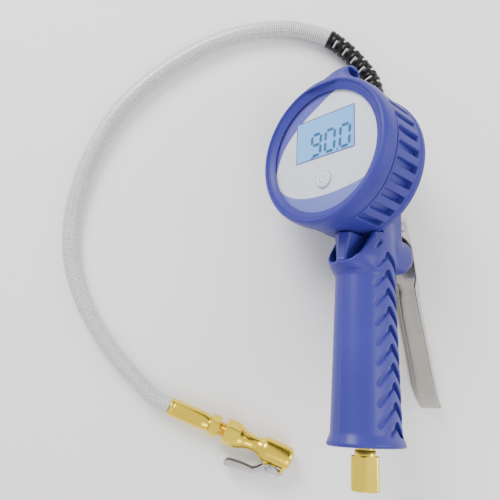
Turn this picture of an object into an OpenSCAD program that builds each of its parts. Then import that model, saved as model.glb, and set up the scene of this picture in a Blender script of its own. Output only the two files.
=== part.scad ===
// Hand-held tyre inflator with a digital gauge, a trigger lever, a braided hose and a clip-on chuck.
// Millimetres, +Z up. The tool lies on a flat surface the way it rests after use: on the rim of the
// gauge head, the tip of the trigger lever and the chuck. The tool itself is drawn in its own axes
// (x across the grip, y from the air inlet towards the head, z out of the gauge face, with z = 0 on
// the grip axis and y = 0 on the gauge axis) and lay() turns it into the resting attitude.

/* [Gauge head] */
// Radius of the front lip of the boot
lip_r = 52; // [51:0.2:52.4]
// Radius of the rear rim of the boot
rim_r = 52.4; // [52:0.2:54]
// Height of the front lip above the grip axis
lip_z = 51.6; // [51.2:0.2:52.4]
// Number of finger ribs round the boot
rib_count = 30; // [24:2:36]
// Width of the display glass
lcd_w = 49.4; // [44:0.2:50]
// Height of the display glass
lcd_h = 30.4; // [26:0.2:31]
// Radius of the power button
button_r = 6; // [5:0.5:6.5]

/* [Grip] */
// Half width of the grip under the collar
grip_a = 18.5; // [17:0.5:20]
// Half depth of the grip under the collar
grip_b = 23; // [22:0.5:25]
// Distance from the gauge axis down to the end of the grip
grip_end = 191; // [188:1:194]
// Wall of the hollow grip
grip_wall = 4; // [3:0.5:5]

/* [Trigger lever] */
// Outer width of the pressed-steel lever
lever_w = 19.6; // [18:0.2:21]
// Sheet thickness of the lever
lever_t = 1.2; // [1:0.1:1.5]
// Radius of the lever pin
lever_pin_r = 2.2; // [2:0.1:2.5]

/* [Air inlet] */
// Width across the flats of the inlet hexagon
inlet_af = 17.5; // [16:0.5:19]
// Radius of the threaded inlet hole
inlet_hole_r = 5.6; // [5:0.1:6]
// Length of the threaded inlet hole
inlet_hole_len = 14; // [10:1:15]

/* [Hose and chuck] */
// Outer diameter of the braided hose
hose_d = 12.2; // [11:0.1:12.6]
// Outer diameter of the strain relief
relief_d = 14; // [13:0.1:14.2]
// Radius of the chuck's mouth, over a tyre valve
chuck_mouth_r = 4.2; // [4:0.1:4.4]
// Depth of the chuck's mouth
chuck_mouth_len = 9; // [8:0.5:10]

/* [Resting attitude] */
// Roll of the tool about its grip axis
roll = 46; // [44:0.5:48]
// Slope of the grip axis down towards the head
tilt = 11; // [10:0.1:13]

/* [Hidden] */
$fn = 96;
hull_fn = 32;

// Place of the tool's own origin in the resting attitude
lay_x = 1.25;
lay_y = 67.3;
lay_z = 35.06;

// Stack of the gauge head, measured along its axis
plate_z = 3;
case_z = 5.6;
board_z = 38;
dial_z = 45.2;
dial_t = 0.6;
lens_z = 46.3;
lens_t = 1;
case_r = 46.2;
open_r = 43.4;
fit = 0.3;
lcd_y = 12;
button_y = -20.3;
sensor_y = -5;
cell_at = [24, 10];
cell_r = 12.3;
door_r = 14;
screw_angles = [60, 145, 215, 325];
screw_pcr = 39;

// Valve, set across the top of the grip, and the lever that presses it
valve_y = -58;
duct_z = -17;
block_a = 16;
block_back = -27;
boss_back = -44.9;
lever_pin_y = -35;
lever_pin_z = -35.5;
stem_r = 2;
stem_tip_z = -50.3;
chamber_r = 4.6;
plug_z = 0;
spring_top = -5;
socket_y = -72;
feed_z = -3.2;
port_y = 45;

hex_top = -196.2;
hex_low = -217.7;
hex_corner = 10.3;

// Chuck: place of the back of the ferrule, direction on the table and height of its axis
chuck_at = [-133.7, -111.6, 9];
chuck_turn = -21;
clip_pin_s = 85;
clip_pin_q = 11;
clip_pin_r = 1.6;
clip_half = 4.6;
clip_t = 1;
chuck_end = 98.4;

// A point in the tool's own axes, in the resting attitude
function lay_point(p) =
  let (side = p.x * cos(roll) - p.z * sin(roll), up = p.x * sin(roll) + p.z * cos(roll))
  [lay_x + side, lay_y + p.y * cos(tilt) + up * sin(tilt), lay_z - p.y * sin(tilt) + up * cos(tilt)];

// Route of the hose from the fitting to the ferrule, lying on the table
route = [lay_point([0, port_y, duct_z]), lay_point([0, port_y + 11, duct_z]),
  [13, 131, 10.2], [11.6, 141, 8.2], [8, 149, 7.3],
  [1.6, 156.6, 7.3], [-6.4, 165, 7.3], [-15.4, 172.4, 7.3], [-24.4, 178, 7.2], [-33.4, 181.4, 6.9],
  [-48, 184.4, 6.6], [-64, 184.8, 6.4], [-87, 181.4, 6.4], [-113, 172, 6.4], [-140, 156.4, 6.4],
  [-165, 136.4, 6.4], [-186, 113, 6.4], [-201.6, 86.4, 6.4], [-212, 57.4, 6.4], [-217.2, 29.4, 6.4],
  [-217.2, 5.4, 6.4], [-211.6, -19.6, 6.4], [-199, -46.6, 6.6], [-181, -71.6, 7.2], [-159.8, -93.2, 8],
  [-146.2, -105.4, 8.7], [-133.7, -111.6, 9]];
relief_end = 8;

// Turns a piece from the tool's own axes into the resting attitude
module lay() {
  translate([lay_x, lay_y, lay_z]) rotate([-tilt, 0, 0]) rotate([0, -roll, 0]) children();
}

// Moves a piece from the chuck's axes (x along the chuck, y to the clip side, z up) to the table
module on_chuck() {
  translate(chuck_at) rotate([0, 0, chuck_turn]) mirror([0, 1, 0]) children();
}

// Cylinder along y from y0 to y1
module rod_y(r, y0, y1, x = 0, z = 0) {
  translate([x, y1, z]) rotate([90, 0, 0]) cylinder(r = r, h = y1 - y0);
}

// Cylinder along x from x0 to x1
module rod_x(r, x0, x1, y = 0, z = 0) {
  translate([x0, y, z]) rotate([0, 90, 0]) cylinder(r = r, h = x1 - x0);
}

// Cylinder along z from z0 to z1
module rod_z(r, z0, z1, x = 0, y = 0) {
  translate([x, y, z0]) cylinder(r = r, h = z1 - z0);
}

// Hexagonal bar along y, given by its width across flats
module hex_y(af, y0, y1, z = 0) {
  translate([0, y1, z]) rotate([90, 0, 0]) cylinder(r = af / sqrt(3), h = y1 - y0, $fn = 6);
}

// Plate cut from an outline in the y-z plane, between x0 and x1
module side_plate(x0, x1) {
  translate([x0, 0, 0]) rotate([90, 0, 90]) linear_extrude(x1 - x0) children();
}

// Thin elliptical slice of the grip at height y
module oval(y, a, b, z = 0) {
  translate([0, y, z - 1.5]) rotate([90, 0, 0]) scale([a, b + 1.5, 1]) cylinder(r = 1, h = 0.6, center = true, $fn = hull_fn);
}

// ---- Gauge head ----

// Blue rubber boot: lip, ribbed band, rear lip and the hanging loop on top
module gauge_boot() {
  color("#3f4fc0") lay() {
    difference() {
      union() {
        rotate_extrude() polygon([[46.5, plate_z + 0.3], [51, plate_z + 0.3], [rim_r, plate_z + 2],
          [rim_r, 8.5], [rim_r - 0.8, 9.5], [rim_r - 0.4, 37], [rim_r - 1.2, 37.6], [rim_r - 1.2, 38.8],
          [rim_r + 0.2, 39.6], [lip_r + 0.3, 47.6], [lip_r - 0.5, 50.2], [lip_r - 2, lip_z],
          [48.4, lip_z], [47.2, 50], [open_r + 2.6, lip_z - 2.2], [open_r, lens_z + lens_t + 0.6],
          [open_r, lens_z + lens_t + 0.1], [46.5, lens_z + lens_t + 0.1]]);
        side_plate(-7.5, 7.5) hull() {
          translate([50, 44]) circle(r = 3, $fn = hull_fn);
          translate([73, 24]) circle(r = 5, $fn = hull_fn);
          translate([52, 11]) circle(r = 2, $fn = hull_fn);
        }
      }
      rod_z(46.5, plate_z, lens_z + lens_t);
      for (i = [0 : rib_count - 1])
        rotate([0, 0, (i + 0.5) * 360 / rib_count])
          if (abs((i + 0.5) * 360 / rib_count - 90) > 14 && abs((i + 0.5) * 360 / rib_count - 270) > 14)
            translate([rim_r - 3, -3.2, 12]) cube([6, 6.4, 23.5]);
      rod_x(3, -9, 9, 67.6, 19.6);
      rod_x(3, -9, 9, 67.6, 26);
      translate([-9, 64.6, 19.6]) cube([18, 6, 6.4]);
    }
  }
}

// Black moulded cup that carries the electronics
module gauge_case() {
  color("#22252b") lay() difference() {
    rod_z(case_r, case_z, dial_z - fit);
    rod_z(case_r - 2.4, case_z + 2.4, dial_z + 1);
    rod_z(door_r + fit, case_z - 1, case_z + 3, cell_at.x, cell_at.y);
    rod_z(4, case_z - 1, case_z + 3, 0, sensor_y);
  }
}

// Steel plate that joins the head to the top of the grip
module rear_plate() {
  color("#8d9096") lay() difference() {
    rod_z(45.8, plate_z, case_z - 0.1);
    rod_z(door_r + fit, plate_z - 1, case_z + 1, cell_at.x, cell_at.y);
    rod_z(4, plate_z - 1, case_z + 1, 0, sensor_y);
    for (a = screw_angles)
      rod_z(1.9, plate_z - 1, case_z + 1, screw_pcr * cos(a), screw_pcr * sin(a));
  }
}

// Four pan-head screws that hold the case on the plate
module rear_screws() {
  color("#b9bcc2") lay() for (a = screw_angles) translate([screw_pcr * cos(a), screw_pcr * sin(a), 0])
    difference() {
      union() {
        rod_z(3.2, plate_z - 1.9, plate_z);
        rod_z(1.8, plate_z, case_z - 0.1);
      }
      translate([-0.5, -2.2, plate_z - 2.2]) cube([1, 4.4, 1.1]);
      translate([-2.2, -0.5, plate_z - 2.2]) cube([4.4, 1, 1.1]);
    }
}

// Round door over the coin cell, with a coin slot
module battery_door() {
  color("#22252b") lay() translate([cell_at.x, cell_at.y, 0]) difference() {
    rod_z(door_r, plate_z - 0.8, case_z + 2.2);
    translate([-7, -0.9, plate_z - 1]) cube([14, 1.8, 1.6]);
  }
}

// Coin cell that powers the display
module coin_cell() {
  color("silver") lay() rod_z(cell_r, case_z + 2.6, case_z + 7.6, cell_at.x, cell_at.y);
}

// Printed circuit board under the display
module circuit_board() {
  color("#1f6b3a") lay() difference() {
    rod_z(43, board_z, board_z + 1.6);
    for (a = [0, 180]) rod_z(1.6, board_z - 1, board_z + 3, 38 * cos(a), 38 * sin(a));
  }
}

// Tact switch under the power button
module button_switch() {
  color("#2b2b2e") lay() translate([-3, button_y - 3, board_z + 1.6]) {
    cube([6, 6, 3.4]);
    translate([3, 3, 3.4]) cylinder(r = 1.7, h = 0.5);
  }
}

// Display module with its glass
module lcd_module() {
  color("#8fc3ea") lay() translate([-lcd_w / 2, lcd_y - lcd_h / 2, board_z + 1.7])
    cube([lcd_w, lcd_h, dial_z + dial_t - board_z - 1.7]);
}

// Printed dial plate with windows for the display and the button
module dial_plate() {
  color("#e8ebf2") lay() difference() {
    rod_z(45.8, dial_z, dial_z + dial_t);
    translate([-lcd_w / 2 - 0.1, lcd_y - lcd_h / 2 - 0.1, dial_z - 1]) cube([lcd_w + 0.2, lcd_h + 0.2, 4]);
    rod_z(button_r + 0.25, dial_z - 1, lens_z + 1, 0, button_y);
  }
}

// Clear cover over the dial
module face_lens() {
  color("#dfe8f4") lay() difference() {
    rod_z(46.2, lens_z, lens_z + lens_t);
    rod_z(button_r + 0.25, lens_z - 1, lens_z + lens_t + 1, 0, button_y);
  }
}

// Push button that wakes the gauge
module power_button() {
  color("#d5d9e2") lay() {
    rod_z(button_r, dial_z - 0.9, lens_z + lens_t + 0.5, 0, button_y);
  }
}

// Pressure sensor on the back of the board
module pressure_sensor() {
  color("#c7cad0") lay() {
    rod_z(6.5, board_z - 12, board_z - 0.1, 0, sensor_y);
  }
}

// Tube that brings line pressure from the valve body to the sensor
module sensor_tube() {
  color("#c9a24a") lay() difference() {
    rod_z(3.2, duct_z + 8.1, board_z - 12.1, 0, sensor_y);
    rod_z(1.5, duct_z + 5, board_z, 0, sensor_y);
  }
}

// ---- Grip and valve ----

// Blue moulded handle: hollow grip, collar, neck, valve boss and the block behind the head
module grip_housing() {
  color("#3f4fc0") lay() difference() {
    union() {
      hull() { oval(-80, grip_a, grip_b); oval(1.5 - grip_end, grip_a + 3, grip_b + 4.2); }
      hull() { oval(8 - grip_end, grip_a + 2.6, grip_b + 3.8); oval(0.3 - grip_end, grip_a + 5, grip_b + 6); }
      hull() { oval(-80, grip_a, grip_b); oval(-70, grip_a + 3.5, grip_b + 6.5); oval(-62, grip_a + 4.5, grip_b + 8); oval(-55, grip_a + 2, grip_b + 4); }
      hull() for (x = [-1, 1], z = [block_back + 7, -6])
        rod_y(7, -62, 38, x * (block_a - 7), z, $fn = hull_fn);
      rod_y(8, -64, -46, 0, 24);
      translate([-8, -64, -6]) cube([16, 18, 30]);
      rod_x(8, -16.5, 16.5, valve_y - 0.5, -27);
      rod_x(11.5, -13, 13, valve_y - 0.5, -30);
      intersection() {
        rod_z(13, boss_back, -8, 0, valve_y);
        translate([-11, valve_y - 14, boss_back - 1]) cube([22, 28, 50]);
      }
    }
    rod_z(rim_r + 0.5, plate_z - 0.4, lip_z + 10);
    rod_z(47, plate_z - 2.6, lip_z);
    hull() { oval(-86, grip_a - grip_wall, grip_b - grip_wall); oval(10 - grip_end, grip_a - 1, grip_b); }
    rod_y(7.4, -grip_end - 1, -60);
    rod_y(8.3, -70, 39, 0, duct_z);
    rod_z(8.8, boss_back - 1, plug_z + 3.3, 0, valve_y);
    rod_z(3.6, duct_z, plate_z, 0, sensor_y);
    translate([-6.6, -45, block_back - 8]) cube([13.2, 20, 14]);
  }
}

// Die-cast valve body: cross chamber, duct up to the hose port and the lug of the lever
module valve_body() {
  color("#a9adb3") lay() difference() {
    union() {
      rod_z(8.5, boss_back + 1.5, plug_z, 0, valve_y);
      rod_y(8, valve_y, 38, 0, duct_z);
      difference() {
        rod_y(7.1, socket_y, valve_y);
        rod_z(8.7, plug_z, plug_z + 9, 0, valve_y);
      }
      translate([-6.2, -43.5, -41]) cube([12.4, 17, 41 + duct_z]);
    }
    rod_z(chamber_r, -34, plug_z + 1, 0, valve_y);
    rod_z(stem_r + 0.05, boss_back, -33, 0, valve_y);
    rod_y(3, valve_y + 6, 39, 0, duct_z);
    rod_y(1.6, valve_y, valve_y + 7, 0, duct_z);
    rod_y(3, socket_y - 1, socket_y + 3);
    rod_y(2.2, socket_y + 2, valve_y - 4, 0, feed_z);
    rod_z(1.6, duct_z, duct_z + 9, 0, sensor_y);
    rod_x(lever_pin_r + 0.02, -7, 7, lever_pin_y, lever_pin_z);
  }
}

// Threaded plug that closes the front of the valve chamber
module valve_plug() {
  color("#c9a24a") lay() difference() {
    union() {
      rod_z(8.4, plug_z + 0.1, plug_z + 2.6, 0, valve_y);
      rod_z(chamber_r - 0.05, spring_top, plug_z + 0.1, 0, valve_y);
    }
    translate([-5, valve_y - 0.8, plug_z + 1.8]) cube([10, 1.6, 2]);
  }
}

// Rubber seat that the valve stem closes against
module valve_seal() {
  color("#1b1b1d") lay() difference() {
    rod_z(chamber_r - 0.05, -33.9, -31.9, 0, valve_y);
    rod_z(stem_r + 0.1, -35, -30, 0, valve_y);
  }
}

// Valve stem: the lever pushes its tip and lifts the head off the seat
module valve_stem() {
  color("#c9ccd2") lay() {
    rod_z(stem_r, stem_tip_z, -31.8, 0, valve_y);
    rod_z(chamber_r - 0.4, -31.8, -28.6, 0, valve_y);
    rod_z(1.6, -28.6, -24, 0, valve_y);
  }
}

// Return spring of the valve stem, between the plug and the head
module valve_spring() {
  coils = 7;
  wire_r = 0.55;
  low = -27.9;
  span = spring_top - wire_r - 0.1 - low;
  color("#9aa0a8") lay() translate([0, valve_y, low])
    for (i = [0 : coils - 1])
      translate([0, 0, i * span / (coils - 1)]) rotate_extrude() translate([3.1, 0]) circle(r = wire_r, $fn = 24);
}

// Outline of the lever in the y-z plane: the back of the web, then the front edge of the flanges
lever_back = [[-29, -43.2], [-40, -45.6], [-47, -49.8], [-66, -54.6], [-76, -56], [-95, -61.4],
  [-122, -70.4], [-146, -77.8], [-157, -82.2], [-163.5, -87]];
lever_front = [[-163, -83], [-156, -78.6], [-146, -72.6], [-122, -65], [-95, -55], [-78, -50.4],
  [-70, -52.6], [-47.5, -47.2], [-43.5, -43], [-43, -32], [-38, -28.2], [-32, -28.2], [-27.5, -32]];

// Pressed-steel trigger lever: a channel open to the grip, with two cheeks round the pin
module trigger_lever() {
  half = lever_w / 2;
  color("#b4b1ad") lay() difference() {
    side_plate(-half, half) polygon(concat(lever_back, lever_front));
    side_plate(-half + lever_t, half - lever_t)
      polygon(concat([for (p = lever_back) [p.x + 0.2, p.y + lever_t + 0.1]], [[-164, -60], [-140, -20], [-20, -20], [-20, -42]]));
    rod_x(lever_pin_r + 0.05, -half - 1, half + 1, lever_pin_y, lever_pin_z);
  }
}

// Pin that the lever turns on, riveted over outside the cheeks
module lever_pin() {
  half = lever_w / 2;
  color("#7f8388") lay() {
    rod_x(lever_pin_r, -half - 1.6, half + 1.6, lever_pin_y, lever_pin_z);
    for (s = [-1, 1])
      rod_x(4, s * (half + 1) - 0.6, s * (half + 1) + 0.6, lever_pin_y, lever_pin_z);
  }
}

// Tube that carries the air up the grip
module air_tube() {
  color("#9aa0a8") lay() difference() {
    rod_y(5.5, -grip_end + 12, -72.1);
    rod_y(3.5, -grip_end, -70);
  }
}

// Brass inlet: neck screwed into the tube, hexagon and a threaded mouth
module inlet_fitting() {
  color("#c9a24a") lay() difference() {
    union() {
      intersection() {
        hex_y(inlet_af, hex_low, hex_top);
        translate([0, hex_top, 0]) rotate([90, 0, 0]) rotate_extrude()
          polygon([[0, 0], [hex_corner - 1.1, 0], [hex_corner, 1], [hex_corner, hex_top - hex_low - 1],
            [hex_corner - 1.1, hex_top - hex_low], [0, hex_top - hex_low]]);
      }
      rod_y(7, hex_top, -grip_end + 11.9);
    }
    rod_y(inlet_hole_r, hex_low - 1, hex_low + inlet_hole_len);
    rod_y(4, hex_low, -grip_end + 13);
  }
}

// Screen in the passage behind the inlet hole
module inlet_screen() {
  color("#b9bcc2") lay() difference() {
    rod_y(3.9, hex_low + inlet_hole_len + 0.3, hex_low + inlet_hole_len + 1.2);
    for (x = [-1.5, 0, 1.5], z = [-1.5, 0, 1.5])
      rod_y(0.5, hex_low + inlet_hole_len, hex_low + inlet_hole_len + 2, x, z);
  }
}

// ---- Hose ----

// Brass fitting that screws the hose into the valve body
module hose_fitting() {
  color("#c9a24a") lay() difference() {
    hex_y(14, 38.1, port_y, duct_z);
    rod_y(3, 38, port_y + 1, 0, duct_z);
  }
}

// Point at t on the smooth curve between route points i and i + 1
function route_at(i, t) =
  let (n = len(route), p0 = route[max(i - 1, 0)], p1 = route[i], p2 = route[min(i + 1, n - 1)], p3 = route[min(i + 2, n - 1)])
  0.5 * (2 * p1 + (p2 - p0) * t + (2 * p0 - 5 * p1 + 4 * p2 - p3) * t * t + (3 * p1 - p0 - 3 * p2 + p3) * t * t * t);

// Curve points from route point a to route point b, two to a stretch
function curve(a, b) = [for (i = [a : b - 1], t = [0, 0.5]) route_at(i, t), route[b]];

function unit(v) = v / norm(v);

// Ring of a tube's corners round point k of a curve
function ring(pts, k, r, sides) =
  let (d = unit(pts[min(k + 1, len(pts) - 1)] - pts[max(k - 1, 0)]), u = unit(cross([0, 0, 1], d)), v = cross(d, u))
  [for (j = [0 : sides - 1]) pts[k] + r * (cos(360 * j / sides) * u + sin(360 * j / sides) * v)];

// Round tube swept along a curve
module sweep(pts, r, sides = 12) {
  n = len(pts);
  polyhedron(
    points = [for (k = [0 : n - 1]) each ring(pts, k, r, sides)],
    faces = concat(
      [[for (j = [0 : sides - 1]) j]],
      [for (k = [0 : n - 2], j = [0 : sides - 1]) [k * sides + j, (k + 1) * sides + j, (k + 1) * sides + (j + 1) % sides, k * sides + (j + 1) % sides]],
      [[for (j = [sides - 1 : -1 : 0]) (n - 1) * sides + j]]),
    convexity = 4);
}

// Moulded black strain relief round the start of the hose
module strain_relief() {
  color("#1a1a1c") sweep(curve(0, relief_end), relief_d / 2);
}

// Braided hose
module hose() {
  color("#dcdcdc") sweep(curve(relief_end, len(route) - 1), hose_d / 2);
}

// Brass ferrule crimped on the hose
module hose_ferrule() {
  color("#c9a24a") on_chuck() rotate([0, 90, 0]) rotate_extrude()
    polygon([[0, 0.1], [6.6, 0.1], [6.8, 1.2], [6.8, 28.6], [6.2, 30.4], [5.6, 32.8], [0, 32.8]]);
}

// Hexagonal nut between the ferrule and the chuck
module hose_nut() {
  color("#c9a24a") on_chuck() translate([32.9, 0, 0]) rotate([0, 90, 0]) rotate([0, 0, 30])
    cylinder(r = 14.8 / sqrt(3), h = 7.4, $fn = 6);
}

// ---- Chuck ----

// Brass chuck: threaded tail, hexagon, waisted neck and a barrel with a lug for the clip
module chuck_body() {
  color("#c9a24a") on_chuck() difference() {
    union() {
      rotate([0, 90, 0]) rotate_extrude()
        polygon([[0, 40.4], [5, 40.4], [5, 45.2], [8.6, 45.2], [8.6, 57], [7.6, 60], [6, 64], [5.3, 68],
          [5.5, 71.5], [7.2, 75.4], [8.7, 78.4], [8.7, 95.8], [7.6, chuck_end], [0, chuck_end]]);
      translate([45.2, 0, 0]) rotate([0, 90, 0]) rotate([0, 0, 30]) cylinder(r = 17.6 / sqrt(3), h = 11, $fn = 6);
      translate([clip_pin_s - 4.6, 0, -2.8]) cube([9.2, clip_pin_q + 3.4, 5.6]);
    }
    rotate([0, 90, 0]) {
      translate([0, 0, chuck_end - chuck_mouth_len]) cylinder(r = chuck_mouth_r, h = chuck_mouth_len + 1);
      translate([0, 0, chuck_end - chuck_mouth_len - 4]) cylinder(r = 3.4, h = 5);
      translate([0, 0, 39]) cylinder(r = 1.8, h = 48);
    }
    translate([clip_pin_s, clip_pin_q, -5]) cylinder(r = clip_pin_r, h = 10);
    translate([93.6, 3, -2.4]) cube([6, 7, 4.8]);
  }
}

// Rubber washer that seals on the valve's end
module chuck_seal() {
  back = chuck_end - chuck_mouth_len - 3;
  color("#1b1b1d") on_chuck() rotate([0, 90, 0]) difference() {
    translate([0, 0, back]) cylinder(r = 3.3, h = 2.9);
    translate([0, 0, back - 1]) cylinder(r = 1.8, h = 5);
  }
}

// Pin in the middle of the mouth that opens the valve core
module chuck_core() {
  color("#c9ccd2") on_chuck() rotate([0, 90, 0]) difference() {
    union() {
      translate([0, 0, 80]) cylinder(r = 1.7, h = 4);
      translate([0, 0, 84]) cylinder(r = 1.2, h = chuck_end - chuck_mouth_len - 84.2);
    }
    translate([0, 0, 79]) cylinder(r = 0.6, h = 5);
  }
}

// Outline of the clip in the chuck's axes: the thumb end, the kink and the nose, then back
clip_back = [[54.4, 22.8], [65, 21.4], [76, 19.8], [86, 17.8], [96.4, 15.2]];
clip_front = [[95.8, 12.4], [91, 9.6], [86.5, 8.6], [82.5, 9], [78, 13.8], [65, 16.2], [53.4, 17.4]];

// Pressed-steel clip: channel with two cheeks on the pin, pressed at the thumb end to open
module chuck_clip() {
  color("#c3c5c8") on_chuck() difference() {
    translate([0, 0, -clip_half]) linear_extrude(2 * clip_half) polygon(concat(clip_back, clip_front));
    translate([0, 0, -clip_half + clip_t]) linear_extrude(2 * (clip_half - clip_t))
      polygon(concat([for (p = clip_back) [p.x - 0.2, p.y - clip_t - 0.1]], [[98, 2], [70, 2], [51, 10]]));
    translate([clip_pin_s, clip_pin_q, -clip_half - 1]) cylinder(r = clip_pin_r + 0.05, h = 2 * clip_half + 2);
  }
}

// Pin of the clip, with a head at each end
module clip_pin() {
  color("#8d9096") on_chuck() translate([clip_pin_s, clip_pin_q, 0]) {
    translate([0, 0, -clip_half - 0.6]) cylinder(r = clip_pin_r, h = 2 * clip_half + 1.2);
    for (s = [-1, 1]) translate([0, 0, s * (clip_half + 0.6) - 0.4]) cylinder(r = 2.6, h = 0.8);
  }
}

// Torsion spring on the clip's pin, beside the lug
module clip_spring() {
  color("#9aa0a8") on_chuck() translate([clip_pin_s, clip_pin_q, 2.95]) difference() {
    cylinder(r = 2.7, h = 0.6);
    translate([0, 0, -1]) cylinder(r = clip_pin_r + 0.2, h = 3);
  }
}

// Hardened jaw on the clip's nose that bites the valve's thread
module clip_jaw() {
  color("#b08d3a") on_chuck() translate([94.2, 4.9, -2]) cube([2.6, 9.8, 4]);
}

gauge_boot();
gauge_case();
rear_plate();
rear_screws();
battery_door();
coin_cell();
circuit_board();
button_switch();
lcd_module();
dial_plate();
face_lens();
power_button();
pressure_sensor();
sensor_tube();
grip_housing();
valve_body();
valve_plug();
valve_seal();
valve_stem();
valve_spring();
trigger_lever();
lever_pin();
air_tube();
inlet_fitting();
inlet_screen();
hose_fitting();
strain_relief();
hose();
hose_ferrule();
hose_nut();
chuck_body();
chuck_seal();
chuck_core();
chuck_clip();
clip_pin();
clip_spring();
clip_jaw();
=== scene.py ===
"""Visual model of a hand-held tyre inflator with a digital gauge, lying on a pale table.
Lengths in the helpers are millimetres in the tool's own axes (x across the grip, y from the inlet
towards the head, z out of the dial, z = 0 on the grip axis). T() turns them into the shared frame,
and C() does the same for the chuck's own axes."""
import math

import bpy
import numpy as np
from mathutils import Matrix, Vector
from mathutils.geometry import tessellate_polygon

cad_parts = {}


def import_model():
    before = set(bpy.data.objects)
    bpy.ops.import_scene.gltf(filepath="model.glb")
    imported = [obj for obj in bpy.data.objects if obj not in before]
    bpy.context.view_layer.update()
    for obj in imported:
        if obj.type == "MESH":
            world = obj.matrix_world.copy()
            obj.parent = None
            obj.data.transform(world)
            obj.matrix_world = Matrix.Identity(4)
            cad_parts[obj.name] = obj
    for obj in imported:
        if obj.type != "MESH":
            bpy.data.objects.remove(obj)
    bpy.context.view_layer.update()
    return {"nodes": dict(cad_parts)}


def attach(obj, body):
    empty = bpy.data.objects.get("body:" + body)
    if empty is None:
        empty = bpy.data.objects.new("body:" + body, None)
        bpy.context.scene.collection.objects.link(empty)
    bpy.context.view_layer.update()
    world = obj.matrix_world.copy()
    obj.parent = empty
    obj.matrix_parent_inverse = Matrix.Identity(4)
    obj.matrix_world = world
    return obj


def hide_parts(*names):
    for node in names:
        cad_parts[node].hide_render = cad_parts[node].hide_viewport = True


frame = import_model()
NODES = frame["nodes"]

# ------------------------------------------------------------------ frames
ROLL, TILT = math.radians(46), math.radians(11)
LAY = np.array([1.25, 67.3, 35.06])


def T(p):
    """Tool axes, mm, to the shared frame, m."""
    p = np.asarray(p, float)
    side = p[..., 0] * math.cos(ROLL) - p[..., 2] * math.sin(ROLL)
    up = p[..., 0] * math.sin(ROLL) + p[..., 2] * math.cos(ROLL)
    y = p[..., 1] * math.cos(TILT) + up * math.sin(TILT)
    z = -p[..., 1] * math.sin(TILT) + up * math.cos(TILT)
    return (np.stack([side, y, z], -1) + LAY) / 1000


CHUCK_AT = np.array([-133.7, -111.6, 9.0])
TURN = math.radians(-21)


def C(p):
    """Chuck axes, mm (s along the chuck, q to the clip side, z up), to the shared frame, m."""
    p = np.asarray(p, float)
    s, q, z = p[..., 0], p[..., 1], p[..., 2]
    x = s * math.cos(TURN) + q * math.sin(TURN)
    y = s * math.sin(TURN) - q * math.cos(TURN)
    return (np.stack([x, y, z], -1) + CHUCK_AT) / 1000


# ------------------------------------------------------------------ camera
def direction(v):
    """Unit vector in the shared frame along v in the tool's axes."""
    return Vector(T(v) - T((0, 0, 0))).normalized()


eye = Vector(T((236.2, -173.1, 339.9)))
look = direction((-0.694, 0.262, -0.671))
up = direction((0.156, 0.964, 0.215))
right = look.cross(up).normalized()
up = right.cross(look).normalized()
cam_data = bpy.data.cameras.new("camera")
cam_data.sensor_width = 36
cam_data.lens = 43.2
cam_data.clip_start = 0.01
camera = bpy.data.objects.new("camera", cam_data)
camera.matrix_world = Matrix((
    (right.x, up.x, -look.x, eye.x),
    (right.y, up.y, -look.y, eye.y),
    (right.z, up.z, -look.z, eye.z),
    (0, 0, 0, 1)))
bpy.context.scene.collection.objects.link(camera)
bpy.context.scene.camera = camera


# ------------------------------------------------------------------ materials
class Nodes:
    """Small helper that builds a node material."""

    def __init__(self, name):
        self.m = bpy.data.materials.new(name)
        self.m.use_nodes = True
        self.t = self.m.node_tree
        self.b = self.t.nodes["Principled BSDF"]

    def n(self, kind, ins=None, **props):
        x = self.t.nodes.new(kind)
        for k, v in props.items():
            setattr(x, k, v)
        for k, v in (ins or {}).items():
            if isinstance(v, bpy.types.NodeSocket):
                self.t.links.new(v, x.inputs[k])
            else:
                x.inputs[k].default_value = v
        return x

    def link(self, a, socket):
        self.t.links.new(a, self.b.inputs[socket])

    def set(self, **kw):
        for k, v in kw.items():
            self.b.inputs[k.replace("_", " ")].default_value = v

    def coords(self, scale=(1, 1, 1), uv=False):
        source = self.n("ShaderNodeTexCoord").outputs["UV" if uv else "Object"]
        return self.n("ShaderNodeMapping", {"Vector": source, "Scale": scale}).outputs[0]

    def noise(self, vec, scale, detail=4, rough=0.55):
        ins = {"Vector": vec, "Scale": scale, "Detail": detail, "Roughness": rough}
        return self.n("ShaderNodeTexNoise", ins).outputs["Fac"]

    def ramp(self, fac, stops):
        r = self.n("ShaderNodeValToRGB", {"Fac": fac})
        e = r.color_ramp.elements
        while len(e) < len(stops):
            e.new(0.5)
        for k, (p, c) in enumerate(stops):
            e[k].position = p
            e[k].color = (*c, 1) if len(c) == 3 else c
        return r.outputs["Color"]

    def range(self, v, a, b, lo, hi):
        ins = {"Value": v, "From Min": a, "From Max": b, "To Min": lo, "To Max": hi}
        return self.n("ShaderNodeMapRange", ins).outputs["Result"]

    def math(self, op, a, b=0.0):
        return self.n("ShaderNodeMath", {0: a, 1: b}, operation=op).outputs[0]

    def bump(self, height, dist, strength=1.0):
        ins = {"Height": height, "Distance": dist, "Strength": strength}
        self.link(self.n("ShaderNodeBump", ins).outputs["Normal"], "Normal")

    def coat(self, weight, rough):
        self.b.inputs["Coat Weight"].default_value = weight
        self.b.inputs["Coat Roughness"].default_value = rough


def shade(c, k):
    """Colour c, lighter or darker by the factor k."""
    return tuple(min(1, v * k) for v in c)


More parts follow.
